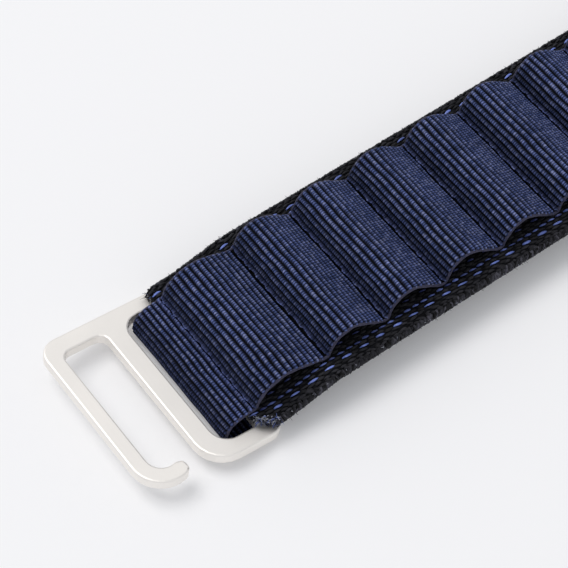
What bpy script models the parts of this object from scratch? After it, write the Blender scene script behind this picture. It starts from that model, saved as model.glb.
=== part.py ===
"""Hook half of a woven loop band for a fitness tracker.

Black webbing carries one ribbon that is tacked down into a row of loops. The ribbon folds through
a flat metal hook at one end and round the pin of a tracker connector at the other.
Frame: +X runs from the hook to the connector, +Z is up, the band's base is at z = 0.
Units: metres. Lengths below are written in millimetres times MM.
"""
import math

import bmesh
import bpy
from mathutils import Matrix, Vector

MM = 0.001

# Webbing: the flat woven tape under the ribbon
WEB_HALF_WIDTH = 12.0 * MM
WEB_THICK = 1.4 * MM
WEB_EDGE = 0.4 * MM                # chamfer of the selvedge
WEB_START = -2.3 * MM              # cut end between the hook's arms
WEB_TONGUE_HALF = 9.7 * MM         # half width of that end
WEB_SHOULDER = -0.9 * MM           # where the tape is wider than the hook's slot
WEB_END = 87.6 * MM
WEB_LOW_HOOK = 2.45 * MM           # height of the underside at the hook
WEB_LOW_CONNECTOR = 2.7 * MM       # height of the underside at the connector
WEB_LOW_MIDDLE = 4.0 * MM          # height of the underside where the band arches up
RISE = 10.0 * MM                   # length over which the band rises at each end

# Ribbon
RIBBON_HALF_WIDTH = 9.4 * MM
RIBBON_THICK = 0.45 * MM
GAP = 0.15 * MM                    # between the ribbon and the webbing
LOOP_COUNT = 10
LOOP_PITCH = 8.61 * MM
FIRST_TACK = -1.7 * MM
LOOP_RISE = 3.05 * MM              # crown of a loop above its feet
LOOP_SKEW = 0.68                   # below 1 moves the crown towards the hook
FLANK_STEEP = 0.85                 # shape of the side towards the hook
FLANK_GENTLE = 1.2                 # shape of the side towards the connector
LOOP_STEPS = 14
FOOT_GAP = 0.35 * MM               # from a tack row to the ribbon on either side
FOOT_LONG = 0.27 * MM
TAB_START = 3.2 * MM               # sewn tab under the webbing, measured from the webbing's middle part
TAB_LONG = 3.0 * MM

# Tack rows and tab stitches
TACK_HALF = 0.13 * MM
TACK_LOW = 0.25 * MM
TACK_HIGH = 0.5 * MM
TACK_FLOATS = 12
STITCH_DROP = 0.2 * MM

# Hook: a flat plate, drawn level and then tilted about its pivot bar
HOOK_AXIS = Vector((-1.2 * MM, 0.0, 1.45 * MM))
HOOK_TILT = math.radians(8.0)
PLATE_THICK = 1.5 * MM
PLATE_BEVEL = 0.22 * MM
PLATE_HALF = 12.3 * MM
PLATE_LEFT = -17.45 * MM
PLATE_RIGHT = 0.9 * MM
OUTER_BAR_IN = -15.45 * MM
MIDDLE_BAR_LEFT = -9.6 * MM
MIDDLE_BAR_RIGHT = -7.0 * MM
PIVOT_HALF = 0.75 * MM
PIVOT_NOTCH_HALF = 9.8 * MM
SLOT_HALF = 10.2 * MM
GAP_FAR = 9.95 * MM
FINGER_CENTRE_Y = -7.5 * MM
FINGER_SWEEP = 105.0               # degrees of finger curl

# Connector
PIN = Vector((91.3 * MM, 0.0, 2.0 * MM))
PIN_R = 0.75 * MM
PIN_HALF = 10.6 * MM
BORE_R = 1.0 * MM
FOLD_R = 1.125 * MM                # middle of the ribbon where it turns round the pin
RAIL_HALF = 12.0 * MM
RAIL_BACK = 93.3 * MM
RAIL_FRONT = 99.1 * MM
RAIL_HIGH = 4.0 * MM
RAIL_ROUND = 1.0 * MM
EAR_IN = 9.85 * MM
COUNTERBORE_R = 1.35 * MM
COUNTERBORE_FROM = 11.1 * MM

# Latch in the connector
LATCH_X = 96.2 * MM
POCKET_HALF = (1.3 * MM, 4.2 * MM)
POCKET_TOP = 3.2 * MM
WINDOW_HALF = (1.0 * MM, 3.2 * MM)
RECESS_HALF = (1.9 * MM, 6.2 * MM)
RECESS_TOP = 1.3 * MM
COVER_LOW = 0.55 * MM
COVER_TOP = 1.05 * MM
FIT = 0.25 * MM                    # play round the latch's pieces
BUTTON_TOP = 4.6 * MM
FLANGE_LOW = 2.45 * MM
FLANGE_TOP = 2.95 * MM
SPRING_Y = 2.4 * MM
SPRING_R = 0.65 * MM
SPRING_WIRE_R = 0.11 * MM
SPRING_TURNS = 2.5
COVER_SCREW_Y = 5.2 * MM

# The band's middle sits over the origin
PLATE_LEAN = (PLATE_THICK / 2 - PLATE_BEVEL / 2) * math.sin(HOOK_TILT)
LEFT_REACH = (HOOK_AXIS.x - PLATE_LEFT) * math.cos(HOOK_TILT) - HOOK_AXIS.x + PLATE_LEAN
DATUM_X = (LEFT_REACH - RAIL_FRONT) / 2


def clear_scene():
    for obj in list(bpy.data.objects):
        bpy.data.objects.remove(obj, do_unlink=True)


def material(name, color, roughness, metallic):
    mat = bpy.data.materials.new(name)
    mat.use_nodes = True
    shader = mat.node_tree.nodes["Principled BSDF"]
    shader.inputs["Base Color"].default_value = (*color, 1.0)
    shader.inputs["Roughness"].default_value = roughness
    shader.inputs["Metallic"].default_value = metallic
    return mat


# ---------------------------------------------------------------- mesh helpers


def finish(bm, name, mat, parent, smooth=None):
    """Turn a bmesh into a named object with one material, its faces pointing out."""
    bmesh.ops.recalc_face_normals(bm, faces=bm.faces)
    mesh = bpy.data.meshes.new(name)
    bm.to_mesh(mesh)
    bm.free()
    mesh.materials.append(mat)
    if smooth is not None:
        mesh.shade_smooth()
        mesh.set_sharp_from_angle(angle=math.radians(smooth))
    obj = bpy.data.objects.new(name, mesh)
    bpy.context.scene.collection.objects.link(obj)
    obj.parent = parent
    return obj


def extrude_outline(bm, points, along):
    """A solid from a closed outline of 3-D points in one plane, pushed along a vector."""
    face = bm.faces.new([bm.verts.new(p) for p in points])
    pushed = bmesh.ops.extrude_face_region(bm, geom=[face])
    verts = [g for g in pushed["geom"] if isinstance(g, bmesh.types.BMVert)]
    bmesh.ops.translate(bm, vec=along, verts=verts)


def side_solid(bm, outline, half_width):
    """A solid from (x, z) points, as wide as the ribbon or rail that it belongs to."""
    points = [Vector((x, -half_width, z)) for x, z in outline]
    extrude_outline(bm, points, Vector((0.0, 2 * half_width, 0.0)))


def box(bm, low, high):
    size = Vector(high) - Vector(low)
    centre = (Vector(high) + Vector(low)) / 2
    bmesh.ops.create_cube(bm, size=1.0, matrix=Matrix.LocRotScale(centre, None, size))


def rod(bm, radius, start, end, sides=24):
    """A cylinder between two points."""
    start = Vector(start)
    run = Vector(end) - start
    turn = run.to_track_quat("Z", "Y").to_matrix().to_4x4()
    place = Matrix.Translation(start + run / 2) @ turn
    bmesh.ops.create_cone(
        bm, cap_ends=True, segments=sides, radius1=radius, radius2=radius,
        depth=run.length, matrix=place,
    )


def boolean(obj, build, operation="DIFFERENCE"):
    """Cut obj with, or join it to, the solid that build makes in an empty bmesh."""
    bm = bmesh.new()
    build(bm)
    tool = finish(bm, f"{obj.name}_tool", obj.data.materials[0], obj.parent)
    tool.hide_render = True
    tool.display_type = "WIRE"
    tool.location = obj.location
    step = obj.modifiers.new("Boolean", "BOOLEAN")
    step.operation = operation
    step.object = tool
    step.solver = "EXACT"


def bevel(obj, width, segments, angle=40.0, clamp=True):
    step = obj.modifiers.new("Bevel", "BEVEL")
    step.use_clamp_overlap = clamp
    step.width = width
    step.segments = segments
    step.limit_method = "ANGLE"
    step.angle_limit = math.radians(angle)


def arc(centre, radius, start, end, steps):
    """Points on a circle in a plane, from one angle to another, in degrees."""
    angles = [math.radians(start + (end - start) * i / steps) for i in range(steps + 1)]
    return [(centre[0] + radius * math.cos(a), centre[1] + radius * math.sin(a)) for a in angles]


def rounded(corners, steps=6):
    """A closed outline from (x, y, radius) corners, each one rounded by an arc."""
    points = []
    count = len(corners)
    for i, (x, y, radius) in enumerate(corners):
        here = Vector((x, y))
        before = (Vector(corners[i - 1][:2]) - here).normalized()
        after = (Vector(corners[(i + 1) % count][:2]) - here).normalized()
        half = before.angle(after) / 2
        start = here + before * radius / math.tan(half)
        end = here + after * radius / math.tan(half)
        centre = here + (before + after).normalized() * radius / math.sin(half)
        for k in range(steps + 1):
            across = (start - centre).normalized().slerp((end - centre).normalized(), k / steps)
            points.append(tuple(centre + across * radius))
    return points


def strip(path, thick):
    """Closed outline of a strip of even thickness that follows a path of (x, z) points."""
    path = [Vector(p) for p in path]
    above = []
    below = []
    for i, here in enumerate(path):
        ahead = (path[min(i + 1, len(path) - 1)] - here).normalized()
        behind = (here - path[max(i - 1, 0)]).normalized()
        ahead = ahead if ahead.length > 0.5 else behind
        behind = behind if behind.length > 0.5 else ahead
        along = (ahead + behind).normalized()
        reach = thick / 2 / max(along.dot(ahead), 0.6)
        normal = Vector((-along.y, along.x)) * reach
        above.append(tuple(here + normal))
        below.append(tuple(here - normal))
    return above + below[::-1]


def bezier(a, b, c, d, steps):
    """Points on a cubic curve, without its last point."""
    points = []
    for i in range(steps):
        t = i / steps
        u = 1 - t
        weights = (u ** 3, 3 * u * u * t, 3 * u * t * t, t ** 3)
        points.append(tuple(sum(w * p[k] for w, p in zip(weights, (a, b, c, d))) for k in (0, 1)))
    return points


# ---------------------------------------------------------------- the band's line


def smooth(t):
    t = min(max(t, 0.0), 1.0)
    return t * t * (3 - 2 * t)


def web_low(x):
    """Height of the webbing's underside: low at both ends, arched up between them."""
    from_hook = WEB_LOW_HOOK + (WEB_LOW_MIDDLE - WEB_LOW_HOOK) * smooth(x / RISE)
    climb = smooth((WEB_END - x) / RISE)
    from_connector = WEB_LOW_CONNECTOR + (WEB_LOW_MIDDLE - WEB_LOW_CONNECTOR) * climb
    return min(from_hook, from_connector)


def web_top(x):
    return web_low(x) + WEB_THICK


def tack_x(row):
    return FIRST_TACK if row == 0 else row * LOOP_PITCH


def ribbon_mid(x):
    """Height of the ribbon's middle where it lies on the webbing."""
    return web_top(x) + GAP + RIBBON_THICK / 2


# ---------------------------------------------------------------- soft pieces


def base_webbing(mat, parent):
    """Woven tape with chamfered selvedges, its hook end narrowed to fit between the hook's arms."""
    shoulder_half = WEB_HALF_WIDTH - 0.9 * MM
    stations = [
        (WEB_START, WEB_TONGUE_HALF),
        (WEB_SHOULDER - 0.05 * MM, WEB_TONGUE_HALF),
        (WEB_SHOULDER, shoulder_half),
        (-0.2 * MM, WEB_HALF_WIDTH),
    ]
    bends = 8
    stations += [(RISE * i / bends, WEB_HALF_WIDTH) for i in range(1, bends + 1)]
    stations += [(WEB_END - RISE * (1 - i / bends), WEB_HALF_WIDTH) for i in range(bends + 1)]
    bm = bmesh.new()
    rings = []
    for x, half in stations:
        low = web_low(x)
        top = web_top(x)
        corners = (
            (half - WEB_EDGE, low), (half, low + WEB_EDGE), (half, top - WEB_EDGE), (half - WEB_EDGE, top),
            (WEB_EDGE - half, top), (-half, top - WEB_EDGE), (-half, low + WEB_EDGE), (WEB_EDGE - half, low),
        )
        rings.append([bm.verts.new((x, y, z)) for y, z in corners])
    for near, far in zip(rings, rings[1:]):
        for k in range(len(near)):
            bm.faces.new((near[k - 1], near[k], far[k], far[k - 1]))
    bm.faces.new(rings[0])
    bm.faces.new(rings[-1])
    finish(bm, "base_webbing", mat, parent)


def ribbon_loop(number, mat, parent):
    """One loop: a foot, a skewed dome that is steep towards the hook, and a second foot."""
    left = tack_x(number - 1) + FOOT_GAP
    right = tack_x(number) - FOOT_GAP
    dome_left = left + FOOT_LONG
    dome_right = right - FOOT_LONG
    path = [(left, ribbon_mid(left))]
    for i in range(LOOP_STEPS + 1):
        turn = math.pi * i / LOOP_STEPS
        x = dome_left + (dome_right - dome_left) * (i / LOOP_STEPS) ** (1 / LOOP_SKEW)
        power = FLANK_STEEP if turn < math.pi / 2 else FLANK_GENTLE
        path.append((x, ribbon_mid(x) + LOOP_RISE * max(math.sin(turn), 0.0) ** power))
    path.append((right, ribbon_mid(right)))
    bm = bmesh.new()
    side_solid(bm, strip(path, RIBBON_THICK), RIBBON_HALF_WIDTH)
    finish(bm, f"ribbon_loop_{number:02d}", mat, parent, smooth=35)


def hook_fold(mat, parent):
    """The ribbon's turn through the hook: over the slot, down, and back under to the sewn tab."""
    half = RIBBON_THICK / 2
    tack = (FIRST_TACK - FOOT_GAP, ribbon_mid(FIRST_TACK))
    nose = (-5.55 * MM, 2.1 * MM)
    keel = (-3.3 * MM, half)
    under = (-0.6 * MM, half)
    tab = (TAB_START, web_low(TAB_START) - GAP - half)
    end_x = TAB_START + TAB_LONG
    path = bezier(tack, (-3.3 * MM, 4.25 * MM), (-5.3 * MM, 4.1 * MM), nose, 7)
    path += bezier(nose, (-5.75 * MM, 0.7 * MM), (-4.7 * MM, half), keel, 6)
    path += bezier(keel, (-2.4 * MM, half), (-1.5 * MM, half), under, 2)
    path += bezier(under, (1.0 * MM, half), (1.6 * MM, tab[1] - 0.4 * MM), tab, 5)
    path += [tab, (end_x, web_low(end_x) - GAP - half)]
    bm = bmesh.new()
    side_solid(bm, strip(path, RIBBON_THICK), RIBBON_HALF_WIDTH)
    finish(bm, "hook_fold", mat, parent, smooth=35)


def connector_fold(mat, parent):
    """The ribbon's turn round the connector's pin, and its sewn tab under the webbing."""
    half = RIBBON_THICK / 2
    last = tack_x(LOOP_COUNT)
    tack = (last + FOOT_GAP, ribbon_mid(last + FOOT_GAP))
    turn = arc((PIN.x, PIN.z), FOLD_R, 80, -80, 10)
    tab = (WEB_END - TAB_START, web_low(WEB_END - TAB_START) - GAP - half)
    end_x = WEB_END - TAB_START - TAB_LONG
    path = bezier(tack, (89.0 * MM, tack[1]), (89.7 * MM, turn[0][1] + 0.1 * MM), turn[0], 6)
    path += turn[:-1]
    path += bezier(turn[-1], (89.9 * MM, 0.8 * MM), (87.4 * MM, tab[1] - 0.6 * MM), tab, 6)
    path += [tab, (end_x, web_low(end_x) - GAP - half)]
    bm = bmesh.new()
    side_solid(bm, strip(path, RIBBON_THICK), RIBBON_HALF_WIDTH)
    finish(bm, "connector_fold", mat, parent, smooth=35)


def thread_row(name, x, low, mat, parent):
    """A sewn row across the ribbon: one thread that rises over each stitch and dips between them."""
    length = 2 * RIBBON_HALF_WIDTH - 0.6 * MM
    step = length / TACK_FLOATS
    top = []
    for i in range(TACK_FLOATS):
        start = -length / 2 + i * step
        top += [(start, low + TACK_LOW), (start + 0.25 * step, low + TACK_HIGH),
                (start + 0.75 * step, low + TACK_HIGH)]
    top.append((length / 2, low + TACK_LOW))
    outline = [(-length / 2, low)] + top + [(length / 2, low)]
    bm = bmesh.new()
    points = [Vector((x - TACK_HALF, y, z)) for y, z in outline]
    extrude_outline(bm, points, Vector((2 * TACK_HALF, 0.0, 0.0)))
    finish(bm, name, mat, parent)


# ---------------------------------------------------------------- hook


def hook_outline():
    """Closed outline of the hook plate, seen from above, counter-clockwise."""
    bar_right = HOOK_AXIS.x + PIVOT_HALF
    bar_half = (OUTER_BAR_IN - PLATE_LEFT) / 2
    curl_x = PLATE_LEFT + 3.95 * MM
    centre = (curl_x, FINGER_CENTRE_Y)
    middle = curl_x - PLATE_LEFT - bar_half
    finger_out = arc(centre, middle + bar_half, 180, 180 + FINGER_SWEEP, 10)
    finger_in = arc(centre, middle - bar_half, 180 + FINGER_SWEEP, 180, 8)
    tip_angle = 180 + FINGER_SWEEP
    tip = arc(centre, middle, tip_angle, tip_angle, 1)[0]
    tip_round = arc(tip, bar_half, tip_angle, tip_angle + 180, 8)
    ring = rounded([
        (MIDDLE_BAR_LEFT, -PLATE_HALF, 3.9 * MM),
        (PLATE_RIGHT, -PLATE_HALF, 2.0 * MM),
        (PLATE_RIGHT, -PIVOT_NOTCH_HALF, 0.35 * MM),
        (bar_right, -PIVOT_NOTCH_HALF, 0.35 * MM),
        (bar_right, PIVOT_NOTCH_HALF, 0.35 * MM),
        (PLATE_RIGHT, PIVOT_NOTCH_HALF, 0.35 * MM),
        (PLATE_RIGHT, PLATE_HALF, 2.0 * MM),
        (PLATE_LEFT, PLATE_HALF, 2.3 * MM),
        (PLATE_LEFT, -40 * MM, 0.01 * MM),
        (OUTER_BAR_IN, -40 * MM, 0.01 * MM),
        (OUTER_BAR_IN, GAP_FAR, 1.2 * MM),
        (MIDDLE_BAR_LEFT, GAP_FAR, 1.2 * MM),
    ], steps=6)
    below = [i for i, p in enumerate(ring) if p[1] < -20 * MM]
    finger = finger_out[:-1] + tip_round + finger_in[1:]
    return ring[:below[0]] + finger + ring[below[-1] + 1:]


def slot_outline():
    left = MIDDLE_BAR_RIGHT
    right = HOOK_AXIS.x - PIVOT_HALF
    return rounded([
        (left, -SLOT_HALF, 2.2 * MM), (right, -SLOT_HALF, 0.35 * MM),
        (right, SLOT_HALF, 0.35 * MM), (left, SLOT_HALF, 2.2 * MM),
    ], steps=6)


def hook_plate(mat, parent):
    """Flat G-shaped plate: a closed slot for the ribbon and an open slot with a curled finger."""
    bm = bmesh.new()
    edges = []
    for outline in (hook_outline(), slot_outline()):
        ring = [
            bm.verts.new((x - HOOK_AXIS.x, y, -PLATE_THICK / 2)) for x, y in outline
        ]
        edges += [bm.edges.new((ring[k - 1], ring[k])) for k in range(len(ring))]
    bmesh.ops.triangle_fill(bm, use_beauty=True, edges=edges)
    pushed = bmesh.ops.extrude_face_region(bm, geom=bm.faces[:])
    verts = [g for g in pushed["geom"] if isinstance(g, bmesh.types.BMVert)]
    bmesh.ops.translate(bm, vec=(0.0, 0.0, PLATE_THICK), verts=verts)
    obj = finish(bm, "hook_plate", mat, parent, smooth=40)
    obj.location = HOOK_AXIS
    obj.rotation_euler = (0.0, HOOK_TILT, 0.0)
    bevel(obj, PLATE_BEVEL, 2, clamp=False)


# ---------------------------------------------------------------- connector


def at_pin(x, z):
    """A point of the connector, measured from its pin."""
    return x - PIN.x, z - PIN.z


def connector_body(mat, parent):
    """Metal end rail with two ears for the pin and a pocket for the latch."""
    ear_r = RAIL_HIGH / 2
    front = RAIL_FRONT - PIN.x - RAIL_ROUND
    outline = arc((0.0, 0.0), ear_r, 90, 270, 14)
    outline += arc((front, RAIL_ROUND - ear_r), RAIL_ROUND, -90, 0, 5)
    outline += arc((front, ear_r - RAIL_ROUND), RAIL_ROUND, 0, 90, 5)
    bm = bmesh.new()
    side_solid(bm, outline, RAIL_HALF)
    obj = finish(bm, "connector_body", mat, parent, smooth=40)
    back = RAIL_BACK - PIN.x
    latch = LATCH_X - PIN.x

    def fold_space(cut):
        box(cut, (-5 * MM, -EAR_IN, -5 * MM), (back, EAR_IN, 5 * MM))

    def pin_bore(cut):
        rod(cut, BORE_R, (0.0, -13 * MM, 0.0), (0.0, 13 * MM, 0.0))

    def counterbores(cut):
        for side in (-1, 1):
            rod(cut, COUNTERBORE_R, (0.0, side * COUNTERBORE_FROM, 0.0), (0.0, side * 13 * MM, 0.0))

    def pocket(half, low, high):
        def build(cut):
            box(cut, (latch - half[0], -half[1], low - PIN.z), (latch + half[0], half[1], high - PIN.z))
        return build

    def screw_holes(cut):
        for side in (-1, 1):
            y = side * COVER_SCREW_Y
            rod(cut, 0.65 * MM, (latch, y, -1.5 * MM), (latch, y, 0.6 * MM), 16)

    boolean(obj, fold_space)
    boolean(obj, pin_bore)
    boolean(obj, counterbores)
    boolean(obj, pocket(RECESS_HALF, -1 * MM, RECESS_TOP))
    boolean(obj, pocket(POCKET_HALF, RECESS_TOP - 0.5 * MM, POCKET_TOP))
    boolean(obj, pocket(WINDOW_HALF, POCKET_TOP - 0.5 * MM, 5 * MM))
    boolean(obj, screw_holes)


def strap_pin(mat, parent):
    bm = bmesh.new()
    rod(bm, PIN_R, (0.0, -PIN_HALF, 0.0), (0.0, PIN_HALF, 0.0))
    finish(bm, "strap_pin", mat, parent, smooth=40)


def pin_screw(name, side, mat, parent):
    """Slotted screw in an ear's counterbore. It keeps the pin from sliding out."""
    head_from = 11.35 * MM
    head_to = 11.95 * MM
    bm = bmesh.new()
    rod(bm, 1.1 * MM, (0.0, side * head_from, 0.0), (0.0, side * head_to, 0.0))
    obj = finish(bm, name, mat, parent, smooth=40)

    def shank(join):
        rod(join, 0.7 * MM, (0.0, side * 10.85 * MM, 0.0), (0.0, side * (head_from + 0.2 * MM), 0.0))

    def driver_slot(cut):
        low, high = sorted((side * (head_to - 0.3 * MM), side * (head_to + 1 * MM)))
        box(cut, (-2 * MM, low, -0.18 * MM), (2 * MM, high, 0.18 * MM))

    boolean(obj, shank, "UNION")
    boolean(obj, driver_slot)


def latch_button(mat, parent):
    """Sprung button: its flange stays under the rail's top, its nose stands out of the window."""
    bm = bmesh.new()
    half_x = POCKET_HALF[0] - FIT
    half_y = POCKET_HALF[1] - FIT
    box(bm, (-half_x, -half_y, FLANGE_LOW), (half_x, half_y, FLANGE_TOP))
    obj = finish(bm, "latch_button", mat, parent)

    def nose(join):
        x = WINDOW_HALF[0] - FIT
        y = WINDOW_HALF[1] - FIT
        plan = rounded([(-x, -y, 0.5 * MM), (x, -y, 0.5 * MM), (x, y, 0.5 * MM), (-x, y, 0.5 * MM)], 4)
        points = [Vector((px, py, FLANGE_TOP - 0.2 * MM)) for px, py in plan]
        extrude_outline(join, points, Vector((0.0, 0.0, BUTTON_TOP - FLANGE_TOP + 0.2 * MM)))

    obj.location = (LATCH_X - PIN.x, 0.0, -PIN.z)
    boolean(obj, nose, "UNION")
    bevel(obj, 0.12 * MM, 1, angle=60)


def latch_spring(name, side, mat, parent):
    """Compression spring between the latch cover and the button's flange."""
    low = COVER_TOP + FIT + SPRING_WIRE_R
    high = FLANGE_LOW - FIT - SPRING_WIRE_R
    steps = round(SPRING_TURNS * 12)
    data = bpy.data.curves.new(name, "CURVE")
    data.dimensions = "3D"
    data.bevel_depth = SPRING_WIRE_R
    data.bevel_resolution = 2
    data.use_fill_caps = True
    spline = data.splines.new("POLY")
    spline.points.add(steps)
    for i, point in enumerate(spline.points):
        turn = 2 * math.pi * SPRING_TURNS * i / steps
        height = low + (high - low) * i / steps
        point.co = (SPRING_R * math.cos(turn), SPRING_R * math.sin(turn), height, 1.0)
    data.materials.append(mat)
    obj = bpy.data.objects.new(name, data)
    bpy.context.scene.collection.objects.link(obj)
    obj.parent = parent
    obj.location = (LATCH_X - PIN.x, side * SPRING_Y, -PIN.z)


def latch_cover(mat, parent):
    """Plate that closes the latch's pocket from below."""
    bm = bmesh.new()
    half_x = RECESS_HALF[0] - FIT
    half_y = RECESS_HALF[1] - FIT
    box(bm, (-half_x, -half_y, COVER_LOW), (half_x, half_y, COVER_TOP))
    obj = finish(bm, "latch_cover", mat, parent)

    def holes(cut):
        for side in (-1, 1):
            y = side * COVER_SCREW_Y
            rod(cut, 0.6 * MM, (0.0, y, 0.0), (0.0, y, 2 * MM), 16)

    obj.location = (LATCH_X - PIN.x, 0.0, -PIN.z)
    boolean(obj, holes)


def cover_screw(name, side, mat, parent):
    bm = bmesh.new()
    rod(bm, 0.62 * MM, (0.0, 0.0, 0.05 * MM), (0.0, 0.0, 0.35 * MM), 16)
    obj = finish(bm, name, mat, parent, smooth=40)

    def shank(join):
        rod(join, 0.35 * MM, (0.0, 0.0, 0.2 * MM), (0.0, 0.0, 2.3 * MM), 16)

    obj.location = (LATCH_X - PIN.x, side * COVER_SCREW_Y, -PIN.z)
    boolean(obj, shank, "UNION")


# ---------------------------------------------------------------- assembly


def empty(name, place, parent=None):
    obj = bpy.data.objects.new(name, None)
    bpy.context.scene.collection.objects.link(obj)
    obj.location = place
    obj.parent = parent
    return obj


def main():
    clear_scene()
    ribbon_mat = material("ribbon", (0.026, 0.031, 0.070), 0.85, 0.0)
    webbing_mat = material("webbing", (0.008, 0.009, 0.014), 0.9, 0.0)
    thread_mat = material("thread", (0.035, 0.045, 0.130), 0.6, 0.0)
    hook_mat = material("hook_metal", (0.72, 0.70, 0.67), 0.32, 1.0)
    connector_mat = material("connector_metal", (0.68, 0.67, 0.65), 0.3, 1.0)
    pin_mat = material("pin_steel", (0.6, 0.6, 0.6), 0.25, 1.0)
    spring_mat = material("spring_steel", (0.5, 0.5, 0.5), 0.3, 1.0)

    band = empty("band", (DATUM_X, 0.0, 0.0))
    pin = empty("connector_axis", PIN, band)

    base_webbing(webbing_mat, band)
    for number in range(1, LOOP_COUNT + 1):
        ribbon_loop(number, ribbon_mat, band)
    hook_fold(ribbon_mat, band)
    connector_fold(ribbon_mat, band)
    for row in range(LOOP_COUNT + 1):
        x = tack_x(row)
        thread_row(f"tack_row_{row:02d}", x, web_top(x) + STITCH_DROP, thread_mat, band)
    for name, x in (("hook_tab_stitch", TAB_START + TAB_LONG / 2),
                    ("connector_tab_stitch", WEB_END - TAB_START - TAB_LONG / 2)):
        tab_low = web_low(x) - GAP - RIBBON_THICK
        thread_row(name, x, tab_low - STITCH_DROP - TACK_HIGH, thread_mat, band)

    hook_plate(hook_mat, band)

    connector_body(connector_mat, pin)
    strap_pin(pin_mat, pin)
    pin_screw("pin_screw_near", -1, pin_mat, pin)
    pin_screw("pin_screw_far", 1, pin_mat, pin)
    latch_button(connector_mat, pin)
    latch_spring("latch_spring_near", -1, spring_mat, pin)
    latch_spring("latch_spring_far", 1, spring_mat, pin)
    latch_cover(connector_mat, pin)
    cover_screw("cover_screw_near", -1, pin_mat, pin)
    cover_screw("cover_screw_far", 1, pin_mat, pin)


main()
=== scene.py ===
import math

import bpy
import numpy as np
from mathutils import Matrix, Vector

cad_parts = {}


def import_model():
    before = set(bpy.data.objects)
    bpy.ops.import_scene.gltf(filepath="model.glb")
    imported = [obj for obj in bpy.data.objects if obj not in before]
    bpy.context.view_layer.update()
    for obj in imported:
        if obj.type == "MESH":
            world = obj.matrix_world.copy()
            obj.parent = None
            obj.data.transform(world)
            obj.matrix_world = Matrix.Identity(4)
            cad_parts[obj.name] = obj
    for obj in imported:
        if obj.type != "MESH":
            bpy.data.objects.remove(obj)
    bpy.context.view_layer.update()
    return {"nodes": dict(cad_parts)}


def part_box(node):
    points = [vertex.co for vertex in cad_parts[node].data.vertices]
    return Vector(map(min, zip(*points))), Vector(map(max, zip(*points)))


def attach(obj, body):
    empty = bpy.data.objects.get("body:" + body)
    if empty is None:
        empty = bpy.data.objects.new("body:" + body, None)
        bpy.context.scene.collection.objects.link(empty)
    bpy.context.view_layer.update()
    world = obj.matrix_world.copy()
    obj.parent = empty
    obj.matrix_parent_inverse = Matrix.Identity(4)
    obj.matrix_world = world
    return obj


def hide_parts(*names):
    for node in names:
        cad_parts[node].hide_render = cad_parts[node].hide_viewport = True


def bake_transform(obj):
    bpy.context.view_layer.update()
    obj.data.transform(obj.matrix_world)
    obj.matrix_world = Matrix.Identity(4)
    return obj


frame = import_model()
NODES = frame["nodes"]
MM = 0.001

# ---------------------------------------------------------------- the strap's own sizes
# Millimetres in the strap's own frame: +x runs from the hook to the connector, and z = 0 is the
# surface under the band. world() turns them into metres in the row frame.

WEB_THICK = 1.4
WEB_HALF = 12.0
WEB_START, WEB_END = -2.3, 87.6
WEB_LOW_HOOK = 2.45               # height of the underside at the hook
WEB_LOW_CONNECTOR = 2.7           # and at the connector
WEB_LOW_MIDDLE = 4.0              # and where the band arches up
WEB_RISE = 10.0                   # length over which the band rises at each end
CUT_CORNERS = {-1: (9.9, 2.5), 1: (10.9, 0.8)}    # per side: half width at the cut end, length of the slope
WRAP_LOW = 0.16                   # how far the selvedges' round falls short of each face

RIBBON_HALF = 9.4
RIBBON_MID = 0.375                # from a face of the webbing to the ribbon's centre
LOOPS, PITCH, FIRST_TACK = 10, 8.61, -1.7
LOOP_RISE, LOOP_SKEW = 3.05, 0.68
FLANK_STEEP, FLANK_GENTLE = 0.85, 1.2    # shape of a loop's side towards the hook, and of the other side
FOOT = 0.40                       # flat stretch after a tack row
FOOT_END = 0.22                   # flat stretch before one
STITCHED = 1.0                    # width of the lumpy cord at a tack row
RIBS_PER_LOOP = 13                # corded ribs after the stitched one; the first loop has one more
HOOK_RIB, END_RIB = 0.67, 0.8     # rib pitch in the fold at the hook and in the one at the connector
RIB_STEPS = 8                     # samples along the ribbon for each rib
RIB_HIGH = 0.27
RIB_SHARE = 0.70                  # how much of the pitch a cord fills
CORE_HALF = 0.10                  # half thickness between the cords
EDGE_BAND = 0.35                  # margin in which the ribbon thins out
FOLD_LOW = 0.225                  # ribbon centre where the fold at the hook lies on the surface
TAB_HOOK = (6.2, 3.2)             # x of the hidden tab's end and of the place where it leaves the webbing
TAB_CONNECTOR = (81.4, 84.4)
TAB_SEAMS = (4.6, 82.9)           # the sewn rows that close the tabs
PIN = (91.3, 2.0)                 # the connector's pin
PIN_WRAP = 1.125                  # from the pin's axis to the ribbon's centre

# What the ribbon's material reads from the third number of the weave attribute, whose fractions are painted
# shade
STITCHED_FLAG = 1.0               # whole part: this rib is a stitched foot
FOOT_PAINTED_SHADE = 0.22                 # fractions: how deep in painted shade a sample lies
RISE_PAINTED_SHADE = 0.8
NOSE_PAINTED_SHADE = 0.6
INNER_PAINTED_SHADE = 0.85                # painted shade on the ribbon's hidden face

DATUM_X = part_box("base_webbing")[0][0] / MM - WEB_START    # the strap's x = 0 in the row frame


def smooth(t):
    t = np.clip(t, 0.0, 1.0)
    return t * t * (3 - 2 * t)


def web_low(x):
    """Height of the webbing's underside along the strap."""
    x = np.asarray(x, float)
    hook = WEB_LOW_HOOK + (WEB_LOW_MIDDLE - WEB_LOW_HOOK) * smooth(x / WEB_RISE)
    connector = WEB_LOW_CONNECTOR + (WEB_LOW_MIDDLE - WEB_LOW_CONNECTOR) * smooth((WEB_END - x) / WEB_RISE)
    return np.minimum(hook, connector)


def web_half(x, side):
    """Half width of the webbing; its hook-end corners are cut back."""
    narrow, slope = CUT_CORNERS[side]
    return narrow + (WEB_HALF - narrow) * smooth((np.asarray(x, float) - WEB_START) / slope)


def ribbon_z(x):
    """Height of the ribbon's centre where it lies on the webbing."""
    return web_low(x) + WEB_THICK + RIBBON_MID


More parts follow.
